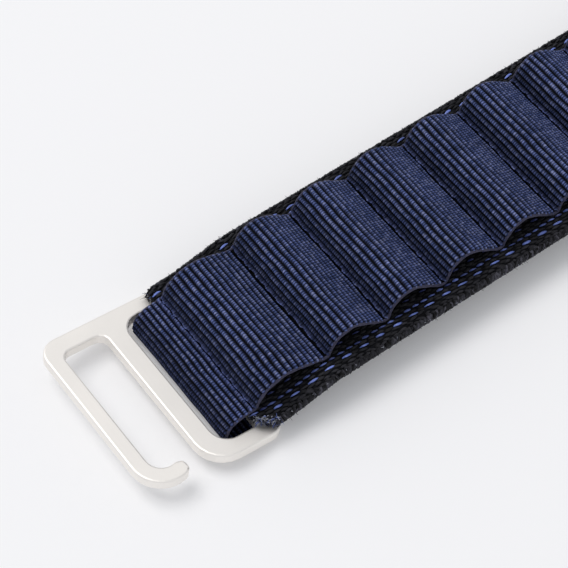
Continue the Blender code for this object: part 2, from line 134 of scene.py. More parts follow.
def tab_z(x):
    """Height of the ribbon's centre where its tab lies under the webbing."""
    return web_low(x) - RIBBON_MID


def tack_x(row):
    return FIRST_TACK if row == 0 else row * PITCH


def world(points):
    """Strap millimetres to row-frame metres."""
    p = np.asarray(points, float).reshape(-1, 3)
    return (p + (DATUM_X, 0, 0)) * MM


def wobble(x, seed, scale=1.0):
    """A smooth curve of noise, the sum of four sine waves, between about -1 and 1."""
    g = np.random.default_rng(seed)
    total = np.zeros_like(np.asarray(x, float))
    for k in range(4):
        freq = (0.6 + 0.9 * k + 0.4 * g.random()) * scale
        phase = g.random() * 6.28
        total += np.sin(np.asarray(x) * freq + phase) / (1 + 0.6 * k)
    return total / 2.2


# ---------------------------------------------------------------- mesh helpers


def add_object(name, data):
    obj = bpy.data.objects.new(name, data)
    bpy.context.scene.collection.objects.link(obj)
    return obj


def mesh_object(name, verts, faces, mats, weave, slots=None):
    """A smooth-shaded object from strap millimetres; weave holds three numbers a point for its materials."""
    mesh = bpy.data.meshes.new(name)
    mesh.from_pydata(world(verts).tolist(), [], [tuple(int(i) for i in f) for f in faces])
    layer = mesh.attributes.new("weave", "FLOAT_VECTOR", "POINT")
    layer.data.foreach_set("vector", np.asarray(weave, np.float32).ravel())
    for mat in mats:
        mesh.materials.append(mat)
    if slots is not None:
        mesh.polygons.foreach_set("material_index", np.asarray(slots, np.int32))
    mesh.polygons.foreach_set("use_smooth", [True] * len(mesh.polygons))
    mesh.update()
    return add_object(name, mesh)


def tube_faces(rings):
    """Faces of a closed tube from an array of rings (n, m, 3), with one face over each end."""
    n, m = rings.shape[:2]
    a = np.arange(n - 1)[:, None] * m
    b = np.arange(m)[None, :]
    nxt = (b + 1) % m
    quads = np.stack([a + b, a + nxt, a + m + nxt, a + m + b], -1).reshape(-1, 4)
    faces = [tuple(q) for q in quads]
    faces.append(tuple(range(m - 1, -1, -1)))
    faces.append(tuple(range((n - 1) * m, n * m)))
    return faces


def arc_length(points):
    return np.concatenate([[0], np.cumsum(np.linalg.norm(np.diff(points, axis=0), axis=1))])


class Bundle:
    """Many small closed tubes gathered into one mesh."""

    def __init__(self):
        self.verts, self.faces, self.weave, self.slots = [], [], [], []
        self.count = 0

    def tube(self, line, radii, sides=6, flat=1.0, up=(0, 0, 1), slot=0, shade=0.0):
        """A tube along a line; its weave holds the length run, the turn round it and its shade."""
        line = np.asarray(line, float)
        radii = np.broadcast_to(np.asarray(radii, float), (len(line),))
        t = np.gradient(line, axis=0)
        t /= np.linalg.norm(t, axis=1)[:, None] + 1e-12
        side = np.cross(t, np.asarray(up, float))
        side /= np.linalg.norm(side, axis=1)[:, None] + 1e-12
        lift = np.cross(side, t)
        turn = np.arange(sides) * 2 * math.pi / sides
        rings = (
            line[:, None]
            + side[:, None] * (np.cos(turn)[None, :, None] * radii[:, None, None])
            + lift[:, None] * (np.sin(turn)[None, :, None] * radii[:, None, None] * flat)
        )
        weave = np.zeros(rings.shape)
        weave[..., 0] = arc_length(line)[:, None]
        weave[..., 1] = (turn / (2 * math.pi))[None, :]
        weave[..., 2] = shade
        faces = tube_faces(rings)
        self.verts.append(rings.reshape(-1, 3))
        self.weave.append(weave.reshape(-1, 3))
        self.faces += [tuple(i + self.count for i in f) for f in faces]
        self.slots += [slot] * len(faces)
        self.count += rings.shape[0] * sides

    def yarn(self, start, end, width, rise, slot=0, shade=0.0, bow=0.0):
        """A yarn float: a flat lens that lies on a surface and dives into it at both ends."""
        f = np.linspace(0, 1, 7)
        line = np.outer(1 - f, start) + np.outer(f, end)
        line[:, 2] += rise * np.sin(math.pi * f) ** 0.7
        line[:, 1] += bow * np.sin(math.pi * f)
        radii = width * (0.25 + 0.75 * np.sin(math.pi * np.clip(f, 0.02, 0.98)) ** 0.6)
        self.tube(line, radii, flat=0.7, slot=slot, shade=shade)

    def build(self, name, mats):
        verts, weave = np.concatenate(self.verts), np.concatenate(self.weave)
        return mesh_object(name, verts, self.faces, mats, weave, self.slots)


# ---------------------------------------------------------------- material helpers


class Nodes:
    """A small writer of shader nodes for one material."""

    def __init__(self, name):
        self.mat = bpy.data.materials.new(name)
        self.mat.use_nodes = True
        self.tree = self.mat.node_tree
        self.shader = self.tree.nodes["Principled BSDF"]

    def set(self, **values):
        for key, value in values.items():
            self.shader.inputs[key.replace("_", " ")].default_value = value

    def link(self, out, key):
        self.tree.links.new(out, self.shader.inputs[key])

    def add(self, kind, inputs=(), **props):
        node = self.tree.nodes.new(kind)
        for key, value in props.items():
            setattr(node, key, value)
        for key, value in dict(inputs).items():
            if isinstance(value, bpy.types.NodeSocket):
                self.tree.links.new(value, node.inputs[key])
            else:
                node.inputs[key].default_value = value
        return node

    def math(self, op, a, b=0.0, c=0.0):
        return self.add("ShaderNodeMath", {0: a, 1: b, 2: c}, operation=op).outputs[0]

    def times(self, a, b):
        return self.math("MULTIPLY", a, b)

    def fit(self, value, factor, offset):
        return self.math("MULTIPLY_ADD", value, factor, offset)

    def power(self, value, exponent):
        return self.math("POWER", value, exponent)

    def floor(self, value):
        return self.math("FLOOR", value)

    def arch(self, value):
        """Half a sine wave over each whole step of a value."""
        return self.math("SINE", self.times(self.math("FRACT", value), math.pi))

    def vec(self, x, y, z=0.0):
        return self.add("ShaderNodeCombineXYZ", {0: x, 1: y, 2: z}).outputs[0]

    def stretched(self, u, u_factor, v, v_factor, z=0.0):
        return self.vec(self.times(u, u_factor), self.times(v, v_factor), z)

    def weave(self):
        attr = self.add("ShaderNodeAttribute", attribute_name="weave")
        parts = self.add("ShaderNodeSeparateXYZ", {0: attr.outputs["Vector"]})
        return parts.outputs[0], parts.outputs[1], parts.outputs[2]

    def place(self):
        return self.add("ShaderNodeTexCoord").outputs["Object"]

    def noise(self, vector, scale=1.0, detail=3.0, rough=0.55):
        inputs = {"Vector": vector, "Scale": scale, "Detail": detail, "Roughness": rough}
        return self.add("ShaderNodeTexNoise", inputs).outputs["Fac"]

    def white(self, vector):
        return self.add("ShaderNodeTexWhiteNoise", {"Vector": vector}, noise_dimensions="3D").outputs["Value"]

    def ramp(self, fac, stops):
        node = self.add("ShaderNodeValToRGB", {"Fac": fac})
        line = node.color_ramp
        while len(line.elements) < len(stops):
            line.elements.new(0.5)
        for element, (at, colour) in zip(line.elements, stops):
            element.position = at
            element.color = (*colour, 1.0)
        return node.outputs["Color"]

    def mix(self, fac, a, b):
        """Colour a turned into colour b; b may be a socket or three numbers."""
        if not isinstance(b, bpy.types.NodeSocket):
            b = (*b, 1.0)
        inputs = {0: fac, 6: a, 7: b}
        return self.add("ShaderNodeMix", inputs, data_type="RGBA", blend_type="MIX").outputs[2]

    def scale(self, colour, factor):
        return self.add("ShaderNodeVectorMath", {0: colour, "Scale": factor}, operation="SCALE").outputs[0]

    def bump(self, height, distance, strength):
        """Relief of a given depth in metres."""
        node = self.add("ShaderNodeBump", {"Height": height, "Distance": distance, "Strength": strength})
        self.link(node.outputs["Normal"], "Normal")


# ---------------------------------------------------------------- materials

WARP_PITCH = 0.334                # between the ribbon's warp yarns, mm
WARP_BUMP = 0.09 * MM
TWIST_BUMP = 0.06 * MM
WEAVE_BUMP = 0.08 * MM
BLAST_BUMP = 0.0036 * MM
RIBBON_COLOURS = [
    (0.26, (0.023, 0.036, 0.094)), (0.48, (0.055, 0.077, 0.196)),
    (0.62, (0.100, 0.127, 0.290)), (0.76, (0.23, 0.26, 0.44)),
]
FOOT_COLOURS = [(0.44, (0.005, 0.008, 0.028)), (0.58, (0.110, 0.135, 0.33))]
# colour of the painted glint, a painted highlight on single filaments
PAINTED_GLINT_COLOUR = (0.42, 0.45, 0.68)
WEBBING_COLOURS = [(0.2, (0.003, 0.003, 0.004)), (0.55, (0.005, 0.0055, 0.008)), (0.9, (0.020, 0.021, 0.027))]
CELL_PLANE, YARN_PLANE, FILAMENT_PLANE = 3.0, 7.0, 5.0    # keep the patterns of white noise apart


def ribbon_material():
    """Navy ribbed ribbon: warp yarns cross each rib, single filaments carry a painted glint, and painted
    shade darkens the grooves between the ribs, the valleys, the fold's nose and the hidden face.
    """
    n = Nodes("ribbon_navy")
    rib, across, foot_and_painted_shade = n.weave()
    stitched = n.math("GREATER_THAN", foot_and_painted_shade, 0.99)

    # a bead where each yarn crosses a rib, in brick order, with yarns that wander sideways
    wander = n.fit(n.noise(n.stretched(rib, 0.35, across, 0.6), detail=2.0), 0.45, across)
    rib_id = n.floor(rib)
    brick = n.times(n.math("MODULO", rib_id, 2.0), 0.5)
    count = n.math("ADD", n.math("DIVIDE", wander, WARP_PITCH), brick)
    warp_id = n.floor(count)
    bead = n.power(n.arch(count), 0.8)
    crest = n.power(n.math("MAXIMUM", n.arch(rib), 0.0), 2.5)
    fibre = n.noise(n.stretched(rib, 3.0, across, 26.0), rough=0.7)
    height = n.times(bead, n.fit(crest, 0.8, 0.2))
    n.bump(n.fit(fibre, 0.35, height), WARP_BUMP, 0.9)

    # colour of each bead: a painted highlight in its middle, painted shade at its rim and between the ribs,
    # and its own tone, darker in broad patches
    cell = n.white(n.vec(warp_id, rib_id, CELL_PLANE))
    yarn = n.white(n.vec(warp_id, 0.0, YARN_PLANE))
    patch = n.noise(n.stretched(rib, 0.10, across, 0.14))
    colour = n.ramp(n.fit(cell, 0.20, n.times(fibre, 0.80)), RIBBON_COLOURS)
    level = n.times(n.fit(n.power(bead, 1.8), 1.05, 0.22), n.fit(yarn, 0.3, 0.85))
    level = n.times(level, n.times(crest, 1.24))
    level = n.times(level, n.fit(patch, 0.7, 0.65))
    colour = n.scale(colour, level)

    # one filament in five gets a painted glint on the crest of its rib, a painted highlight
    filament = n.white(n.vec(n.floor(n.math("DIVIDE", wander, WARP_PITCH / 2)), rib_id, FILAMENT_PLANE))
    glint = n.times(n.math("GREATER_THAN", filament, 0.80), n.power(crest, 2.0))
    glint = n.times(glint, n.fit(fibre, 1.6, -0.35))
    colour = n.mix(n.math("MAXIMUM", n.times(glint, 0.62), 0.0), colour, PAINTED_GLINT_COLOUR)

    # the coarse speckle of a stitched foot, with painted shade between its ribs; then the painted shade of
    # each sample, and painted light that makes a stitched foot 1.45 times lighter
    lumps = n.noise(n.vec(rib, n.times(across, 2.8)))
    colour = n.mix(n.times(stitched, 0.5), colour, n.scale(n.ramp(lumps, FOOT_COLOURS), crest))
    shade = n.times(n.fit(n.math("FRACT", foot_and_painted_shade), -0.9, 1.0), n.fit(stitched, 0.45, 1.0))
    n.link(n.scale(colour, shade), "Base Color")
    n.set(Roughness=0.48, Specular_IOR_Level=0.05)
    return n.mat


def yarn_material(name, dark, light, rough=0.5, fibres=14.0, spec=0.5, bright=None):
    """Twisted yarn: fine slanting fibres round a tube, lighter where its shade is higher."""
    n = Nodes(name)
    run, turn, shade = n.weave()
    ply = n.arch(n.fit(run, 1.6, n.times(turn, 4.0)))
    fine = n.noise(n.stretched(run, fibres, turn, 9.0, shade), rough=0.7)
    n.bump(n.fit(fine, 0.8, n.times(ply, 0.5)), TWIST_BUMP, 0.8)
    speck = n.noise(n.place(), 2600.0, 2.0)
    value = n.fit(fine, 0.45, n.times(speck, 0.35))
    value = n.fit(shade, 0.5, value)
    n.link(n.ramp(value, [(0.25, dark), (0.75, light), (0.95, bright or light)]), "Base Color")
    n.set(Roughness=rough, Sheen_Weight=0.04, Specular_IOR_Level=spec)
    return n.mat


def webbing_material():
    """Dull black weave whose floats differ a little from each other."""
    n = Nodes("webbing_black")
    u, v, side = n.weave()
    cell = n.white(n.vec(n.floor(u), n.floor(v), side))
    fine = n.noise(n.stretched(u, 5.0, v, 14.0, side), rough=0.7)
    n.bump(fine, WEAVE_BUMP, 0.9)
    n.link(n.ramp(n.fit(cell, 0.4, n.times(fine, 0.5)), WEBBING_COLOURS), "Base Color")
    n.set(Roughness=0.8, Sheen_Weight=0.02, Specular_IOR_Level=0.12)
    return n.mat


def metal_material(name, colour, rough):
    """Satin metal with a faint blasted grain and uneven polish."""
    n = Nodes(name)
    place = n.place()
    fine = n.noise(place, 9000.0, rough=0.7)
    broad = n.noise(place, 160.0)
    n.bump(fine, BLAST_BUMP, 0.5)
    tone = n.fit(broad, 0.06, n.fit(fine, 0.05, 0.93))
    flat = n.add("ShaderNodeRGB")
    flat.outputs[0].default_value = (*colour, 1.0)
    n.link(n.scale(flat.outputs[0], tone), "Base Color")
    n.link(n.fit(broad, 0.10, n.fit(fine, 0.08, rough - 0.09)), "Roughness")
    n.set(Metallic=1.0)
    return n.mat


def floor_material():
    """White table with a weak glow, as if lit from below."""
    n = Nodes("studio_floor")
    n.set(Base_Color=(0.82, 0.82, 0.832, 1.0), Roughness=0.9, Specular_IOR_Level=0.1)
    n.set(Emission_Color=(0.99, 0.995, 1.0, 1.0), Emission_Strength=0.125)
    return n.mat


RIBBON = ribbon_material()
WEBBING = webbing_material()
BLUE = yarn_material("yarn_blue", (0.022, 0.032, 0.14), (0.19, 0.27, 0.74), rough=0.3)
GREY = yarn_material("yarn_charcoal", (0.0015, 0.0015, 0.002), (0.034, 0.034, 0.042),
                     rough=0.7, spec=0.15, bright=(0.085, 0.083, 0.105))
NAVY = yarn_material("thread_navy", (0.004, 0.006, 0.020), (0.040, 0.052, 0.15), rough=0.45, spec=0.2)
PALE = yarn_material("yarn_pale_ends", (0.16, 0.18, 0.25), (0.72, 0.75, 0.86))
SELVEDGE = yarn_material("ribbon_selvedge", (0.018, 0.018, 0.038), (0.078, 0.076, 0.130),
                         rough=0.6, fibres=5.0, spec=0.15)
SATIN = metal_material("metal_satin", (0.945, 0.915, 0.875), 0.56)
SATIN_DARK = metal_material("metal_satin_warm", (0.80, 0.785, 0.765), 0.30)
STEEL = metal_material("metal_pin", (0.70, 0.70, 0.71), 0.22)
SPRING = metal_material("metal_spring", (0.55, 0.55, 0.57), 0.28)
IN_BLUE, IN_GREY = 0, 1           # places of the two yarns in the webbing's material lists

# ---------------------------------------------------------------- ribbon


def bezier(a, b, c, d):
    t = np.linspace(0, 1, 40)[:, None]
    a, b, c, d = (np.asarray(p, float) for p in (a, b, c, d))
    return (1 - t) ** 3 * a + 3 * (1 - t) ** 2 * t * b + 3 * (1 - t) * t ** 2 * c + t ** 3 * d


def join(*runs):
    """One run from several, each of which starts where the last one ended."""
    points = [np.asarray(runs[0], float)]
    points += [np.asarray(r, float)[1:] for r in runs[1:]]
    return np.concatenate(points)


def hook_run():
    """Ribbon centreline from the hidden tab, round the hook's pivot bar and up to the first tack row."""
    end, tab = ((x, tab_z(x)) for x in TAB_HOOK)
    tack = (FIRST_TACK, ribbon_z(FIRST_TACK))
    under, keel, nose = (-0.6, FOLD_LOW), (-3.3, FOLD_LOW), (-5.55, 2.1)
    return join(
        [end, tab],
        bezier(tab, (1.6, tab[1] - 0.4), (1.0, FOLD_LOW), under),
        bezier(under, (-1.5, FOLD_LOW), (-2.4, FOLD_LOW), keel),
        bezier(keel, (-4.7, FOLD_LOW), (-5.75, 0.7), nose),
        bezier(nose, (-5.3, 4.1), (-3.3, 4.25), tack),
    )


def loop_run(number):
    """Ribbon centreline over one loop: a dome that leans towards the hook, with a flat foot on each side."""
    left, right = tack_x(number - 1), tack_x(number)
    dome_left, dome_right = left + FOOT, right - FOOT_END
    f = np.linspace(0, 1, 160)
    turn = math.pi * f
    x = dome_left + (dome_right - dome_left) * f ** (1 / LOOP_SKEW)
    power = np.where(turn < math.pi / 2, FLANK_STEEP, FLANK_GENTLE)
    rise = LOOP_RISE * (1 + 0.02 * math.sin(number * 2.3))
    z = ribbon_z(x) + rise * np.maximum(np.sin(turn), 0) ** power
    dome = np.stack([x, z], 1)
    return join([(left, ribbon_z(left))], dome, [(right, ribbon_z(right))])


def connector_run():
    """Ribbon centreline from the last tack row round the connector's pin to its hidden tab."""
    end, tab = ((x, tab_z(x)) for x in TAB_CONNECTOR)
    last = (tack_x(LOOPS), ribbon_z(tack_x(LOOPS)))
    turn = np.radians(np.linspace(80, -80, 60))
    arc = np.stack([PIN[0] + PIN_WRAP * np.cos(turn), PIN[1] + PIN_WRAP * np.sin(turn)], 1)
    return join(
        bezier(last, (89.0, last[1]), (89.7, arc[0][1] + 0.1), arc[0]),
        arc,
        bezier(arc[-1], (89.9, 0.8), (87.4, tab[1] - 0.6), tab),
        [end],
    )


def even_ribs(length, pitch):
    return np.linspace(0, length, max(2, round(length / pitch)) + 1)


def rib_marks(run, length):
    """Where the ribs of one run start and end, and how far each is a stitched foot, from 0 to 1."""
    if run in ("hook", "connector"):
        marks = even_ribs(length, HOOK_RIB if run == "hook" else END_RIB)
        feet = np.zeros(len(marks) - 1)
        feet[-1 if run == "hook" else 0] = 0.8
    else:
        corded = RIBS_PER_LOOP + (1 if run == 1 else 0)
        marks = np.concatenate([[0], np.linspace(STITCHED, length, corded + 1)])
        feet = np.zeros(len(marks) - 1)
        feet[0] = 1
    return marks, feet


def ribbon_samples():
    """Points along the whole ribbon: x, z, rib count, cord relief, foot and share of its own run."""
    rows, ribs_done = [], 0
    runs = [("hook", hook_run())] + [(k, loop_run(k)) for k in range(1, LOOPS + 1)]
    for run, points in runs + [("connector", connector_run())]:
        s = arc_length(points)
        marks, feet = rib_marks(run, s[-1])
        for k in range(len(feet)):
            for f in np.arange(RIB_STEPS) / RIB_STEPS:
                at = marks[k] + (marks[k + 1] - marks[k]) * f
                x, z = np.interp(at, s, points[:, 0]), np.interp(at, s, points[:, 1])
                relief = math.sqrt(max(0.0, 1 - ((2 * f - 1) / RIB_SHARE) ** 2))
                rows.append((x, z, ribs_done + k + f, relief, feet[k], at / s[-1]))
        ribs_done += len(feet)
    x, z = points[-1]
    rows.append((x, z, ribs_done, 0.0, 0.0, 1.0))
    return np.array(rows)


def unit_vectors(points):
    """Tangents of a line, smoothed over five points, and its normals."""
    t = np.gradient(points, axis=0)
    kernel = np.array([1, 2, 3, 2, 1.0])
    kernel /= kernel.sum()
    padded = np.pad(t, ((2, 2), (0, 0)), mode="edge")
    t = np.stack([np.convolve(padded[:, k], kernel, "valid") for k in (0, 1)], 1)
    t /= np.linalg.norm(t, axis=1)[:, None]
    return t, np.stack([-t[:, 1], t[:, 0]], 1)


SAMPLES = ribbon_samples()
SAMPLE_X, SAMPLE_Z, RIB_COUNT, RELIEF, FEET, ALONG = SAMPLES.T
TANGENT, NORMAL = unit_vectors(SAMPLES[:, :2])


def painted_outer_shade():
    """Painted shade for the ribbon's outer face, deepest at the foot of each loop's rise and on the fold's
    nose; stitched feet get their flag and a little painted shade.
    """
    on_loop = (SAMPLE_X > FIRST_TACK) & (SAMPLE_X < tack_x(LOOPS))
    rise = RISE_PAINTED_SHADE * (1 - smooth((ALONG - 0.05) / 0.33)) * on_loop
    nose = NOSE_PAINTED_SHADE * smooth((-3.4 - SAMPLE_X) / 1.9)
    return np.where(FEET > 0.5, STITCHED_FLAG + FOOT_PAINTED_SHADE, rise + nose)


def ribbon_half(y, thin):
    """Half thickness of the ribbon at each sample and each y: the core, and the cord round it."""
    rib = np.floor(RIB_COUNT)
    strength = RIB_HIGH * (1 + 0.12 * np.sin(rib * 12.9898) + 0.75 * FEET)
    # the cords are pressed flatter where the fold lies on the surface
    strength *= 0.42 + 0.58 * smooth((SAMPLE_Z - 0.35) / 1.3)
    lumps = 1 + 0.45 * FEET[:, None] * wobble(y[None, :] + 3.1 * rib[:, None], 5, 3.4)
    cord = (strength * RELIEF)[:, None] * lumps * (0.35 + 0.65 * thin[None, :])
    return np.maximum(CORE_HALF * thin[None, :] + cord, 0.03)


def build_ribbon():
    """The whole ribbon as one closed skin, which thins out to its edges and sags a little."""
    core = np.linspace(-1, 1, 57)
    y = RIBBON_HALF * np.sign(core) * (1 - (1 - np.abs(core)) ** 1.15)
    edge = np.clip((np.abs(y) - (RIBBON_HALF - EDGE_BAND)) / EDGE_BAND, 0, 1)
    half = ribbon_half(y, np.sqrt(1 - 0.97 * edge ** 2))
    drift = 0.07 * wobble(y[None, :] * 0.55 + np.floor(RIB_COUNT)[:, None] * 0.35, 8)
    sag = 0.05 * wobble(y[None, :] * 0.4 + np.floor(RIB_COUNT / 14)[:, None] * 1.7, 9)
    base = SAMPLES[:, None, :2] + TANGENT[:, None] * drift[..., None] + NORMAL[:, None] * sag[..., None]
    reach = 1 + 0.006 * wobble(RIB_COUNT * 0.45, 21)[:, None] + 0.004 * RELIEF[:, None]
    sheets = []
    for sign in (1, -1):
        at = base + NORMAL[:, None] * (sign * half)[..., None]
        sheets.append(np.stack([at[..., 0], y[None, :] * reach, at[..., 1]], -1))
    rings = np.concatenate([sheets[0], sheets[1][:, ::-1]], 1)
    weave = np.zeros(rings.shape)
    weave[..., 0] = RIB_COUNT[:, None]
    weave[..., 1] = np.concatenate([y, y[::-1]])[None, :]
    # the third number is painted shade: on the outer face from painted_outer_shade, and even over the hidden
    # face
    weave[:, :len(y), 2] = painted_outer_shade()[:, None]
    weave[:, len(y):, 2] = INNER_PAINTED_SHADE
    return mesh_object("ribbon", rings.reshape(-1, 3), tube_faces(rings), [RIBBON], weave.reshape(-1, 3))


def build_ribbon_edges():
    """The ribbon's two smooth selvedges, each a thin cord along its edge."""
    b = Bundle()
    x, z, count = (column[::3] for column in (SAMPLE_X, SAMPLE_Z, RIB_COUNT))
    for sign in (-1, 1):
        y = sign * (RIBBON_HALF - 0.02 + 0.05 * wobble(count * 0.5, 31 + sign))
        radii = 0.165 + 0.02 * np.sin(count * 2.1)
        b.tube(np.stack([x, y, z], 1), radii, sides=8, up=(0, 1, 0.001), shade=0.2)
    return b.build("ribbon_selvedges", [SELVEDGE])


def build_tacks():
    """Rows of stitches that hold the ribbon down in the valleys, and the two rows that close its tabs."""
    b = Bundle()
    g = np.random.default_rng(23)
    for row in range(LOOPS + 1):
        x = tack_x(row)
        z = ribbon_z(x) - 0.04
        y = -RIBBON_HALF + 0.35
        while y < RIBBON_HALF - 0.3:
            at = y + g.normal(0, 0.05)
            lean = 0.13 + g.normal(0, 0.03)
            b.yarn((x - lean, at - 0.30, z), (x + lean, at + 0.30, z), 0.11, 0.03, shade=g.normal(-0.3, 0.15))
            y += 0.78
    for x in TAB_SEAMS:
        z = web_low(x) - 0.62
        y = -RIBBON_HALF + 0.6
        while y < RIBBON_HALF - 0.5:
            b.yarn((x, y - 0.5, z), (x, y + 0.5, z), 0.13, -0.09, shade=g.normal(-0.1, 0.1))
            y += 1.35
    return b.build("tack_stitches", [NAVY])


# ---------------------------------------------------------------- webbing

LANE = 0.455                      # width of one lane of the weave
FLOAT = 1.18                      # length of one float of the weave
FLOAT_HIGH = 0.1
MARGIN_ROWS = [
    # lane, pitch, length, half width, material, offset, shade
    # in the shade column, the blue rows are darker the nearer they lie to the ribbon: painted shade from the
    # ribbon
    (8.05, 1.22, 0.95, 0.15, IN_GREY, 0.1, 0.1),
    (8.50, 2.44, 0.95, 0.12, IN_BLUE, 0.9, -0.35),
    (8.52, 2.44, 0.95, 0.16, IN_GREY, 2.1, 0.1),
    (8.90, 1.22, 0.95, 0.16, IN_GREY, 0.5, 0.2),
    (9.28, 1.22, 0.95, 0.16, IN_GREY, 0.9, 0.1),
    (9.68, 1.22, 0.92, 0.14, IN_BLUE, 0.2, 0.12),
    (10.08, 1.22, 0.95, 0.17, IN_GREY, 0.7, 0.2),
    (10.48, 2.44, 1.25, 0.16, IN_BLUE, 0.5, 0.45),
    (10.50, 2.44, 1.00, 0.16, IN_GREY, 1.72, 0.15),
    (10.88, 1.22, 1.00, 0.17, IN_GREY, 0.1, 0.25),
    (11.26, 1.22, 0.90, 0.17, IN_GREY, 0.7, 0.3),
    (11.56, 0.81, 0.62, 0.15, IN_GREY, 0.3, 0.3),
]
WRAPS = [
    # pitch, reach, radius, slope
    (0.47, 0.0, 0.19, 0.5),
    (0.39, 0.06, 0.12, -0.45),
    (0.61, 0.10, 0.09, 0.9),
]


def webbing_face(x, lanes, face):
    """One row of points across a face, 1 above or -1 below, with floats in brick order."""
    half = np.where(lanes < 0, web_half(x, -1), web_half(x, 1))
    y = lanes * (half - 0.25)
    v = y / LANE
    u = x / FLOAT + 0.5 * (np.floor(v) % 2)
    lens = np.sin(math.pi * (u % 1)) ** 0.8 * np.sin(math.pi * (v % 1)) ** 0.6
    edge = np.clip((np.abs(lanes) - 0.95) / 0.05, 0, 1)
    drop = (WEB_THICK / 2 - WRAP_LOW) * (1 - np.sqrt(1 - 0.93 * edge ** 2))
    high = WEB_THICK / 2 - FLOAT_HIGH - drop + FLOAT_HIGH * lens * (1 - edge)
    z = web_low(x) + WEB_THICK / 2 + face * high
    place = np.stack([np.full_like(y, x), y, z], 1)
    return place, np.stack([u, v, np.full_like(y, float(face))], 1)


def build_webbing():
    """The woven tape between its selvedges."""
    lanes = np.linspace(-1, 1, 105)
    rings, weave = [], []
    for x in np.linspace(WEB_START, WEB_END, 440):
        top, top_weave = webbing_face(x, lanes, 1)
        low, low_weave = webbing_face(x, lanes[::-1], -1)
        rings.append(np.concatenate([top, low]))
        weave.append(np.concatenate([top_weave, low_weave]))
    rings, weave = np.array(rings), np.array(weave)
    return mesh_object("webbing", rings.reshape(-1, 3), tube_faces(rings), [WEBBING], weave.reshape(-1, 3))


def lay_floats(b, g, side, face, row):
    """One row of floats along a margin; none lie under the hook's fold."""
    lane, pitch, length, width, material, offset, shade = row
    blue = material == IN_BLUE
    loose = 1.0 if blue else 1.8
    x = WEB_START + 0.3 + offset
    count = 0
    while x < WEB_END - 0.6:
        if lane < web_half(x, side) - 0.4 and (face > 0 or x > 0.1):
            x0 = x - length / 2 + g.normal(0, 0.06) * loose
            x1 = x + length / 2 + g.normal(0, 0.06) * loose
            z0, z1 = web_low(np.array([x0, x1])) + (WEB_THICK if face > 0 else 0)
            tilt = (0.07 if blue else g.normal(0.05, 0.05)) * side
            dim = -0.3 if blue and lane < 10 and count % 2 else 0.0
            lift = face * (-0.03 + g.normal(0, 0.02))
            y = side * lane + g.normal(0, 0.03) * loose
            size = width * (1 + 0.16 * g.normal())
            tone = shade + dim + g.normal(0, 0.16)
            start, end = (x0, y - tilt, z0 + lift), (x1, y + tilt, z1 + lift)
            b.yarn(start, end, size, face * 0.12, material, tone, 0.03 * side)
        x += pitch
        count += 1


def wrap_selvedge(b, g, side, wrap):
    """Slanting yarns round one selvedge."""
    pitch, reach, radius, slope = wrap
    turn = np.radians(np.linspace(100, -100, 11))
    x = WEB_START + (1.6 if side < 0 else 0.5)
    while x < WEB_END - 0.3:
        at = x + g.normal(0, 0.10)
        y = side * (web_half(at, side) - 0.42 + reach + 0.30 * np.cos(turn))
        z = web_low(at) + WEB_THICK / 2 + (WEB_THICK / 2 - WRAP_LOW) * np.sin(turn)
        line = np.stack([at + (slope + g.normal(0, 0.2)) * np.sin(turn) * 0.5, y, z], 1)
        size = radius * (0.75 + 0.5 * g.random())
        b.tube(line, size, up=(1, 0.01, 0), slot=IN_GREY, shade=g.normal(0.4, 0.5))
        x += pitch


def build_yarns():
    """Yarn floats along both margins of the webbing, above and below, and its wrapped selvedges."""
    b = Bundle()
    g = np.random.default_rng(3)
    for side in (-1, 1):
        for face in (1, -1):
            for row in MARGIN_ROWS:
                lay_floats(b, g, side, face, row)
    for side in (-1, 1):
        for wrap in WRAPS:
            wrap_selvedge(b, g, side, wrap)
    return b.build("webbing_yarns", [BLUE, GREY])


def fibre(b, g, root, heading, mix, lengths, radii, tone, curl):
    """One loose fibre that bends as it leaves the cloth; mix gives the odds of blue, charcoal and pale."""
    slot = g.choice([0, 1, 2], p=mix)
    length, radius = g.uniform(*lengths), g.uniform(*radii)
    shade = g.normal(*tone)
    t = np.linspace(0, 1, 5)[:, None]
    d = np.asarray(heading, float)
    d = d / np.linalg.norm(d)
    bend = g.normal(0, 1, 3) * curl
    line = np.asarray(root) + d * t * length + bend * (t ** 2) * length
    b.tube(line, radius * np.linspace(1, 0.6, 5), sides=4, up=(0.3, 0.2, 1), slot=slot, shade=shade)


def fray_cut_end(b, g):
    """Short yarn ends along the whole cut end, fewer where the ribbon hides them."""
    for _ in range(520):
        y = g.uniform(-11.9, 11.6)
        side = -1 if y < 0 else 1
        if abs(y) < 9.5 and g.random() < 0.75:
            continue
        slope = 1.15 * max(0.0, -y - 10.1) if side < 0 else -0.3 * max(0.0, y - 10.6)
        x = WEB_START + 0.25 + slope + g.normal(0, 0.12)
        z = web_low(x) + g.uniform(0.15, WEB_THICK + 0.05)
        heading = (-1, 0.35 * side + g.normal(0, 0.5), g.normal(0.12, 0.4))
        fibre(b, g, (x, y, z), heading, (0.22, 0.53, 0.25), (0.2, 0.55), (0.02, 0.055), (0.1, 0.25), 0.35)


def fray_corner(b, g):
    """A thicker tuft on the slanting cut at the near corner."""
    for _ in range(300):
        x = g.uniform(-1.9, 0.3)
        y = -10.35 - 0.75 * (x + 1.9) + g.uniform(-0.1, 0.5)
        z = web_low(x) + g.uniform(0.2, WEB_THICK + 0.15)
        heading = (-1 + g.normal(0, 0.5), -0.7 + g.normal(0, 0.5), g.normal(0.2, 0.5))
        fibre(b, g, (x, y, z), heading, (0.22, 0.38, 0.40), (0.15, 0.55), (0.03, 0.065), (0.3, 0.3), 0.4)


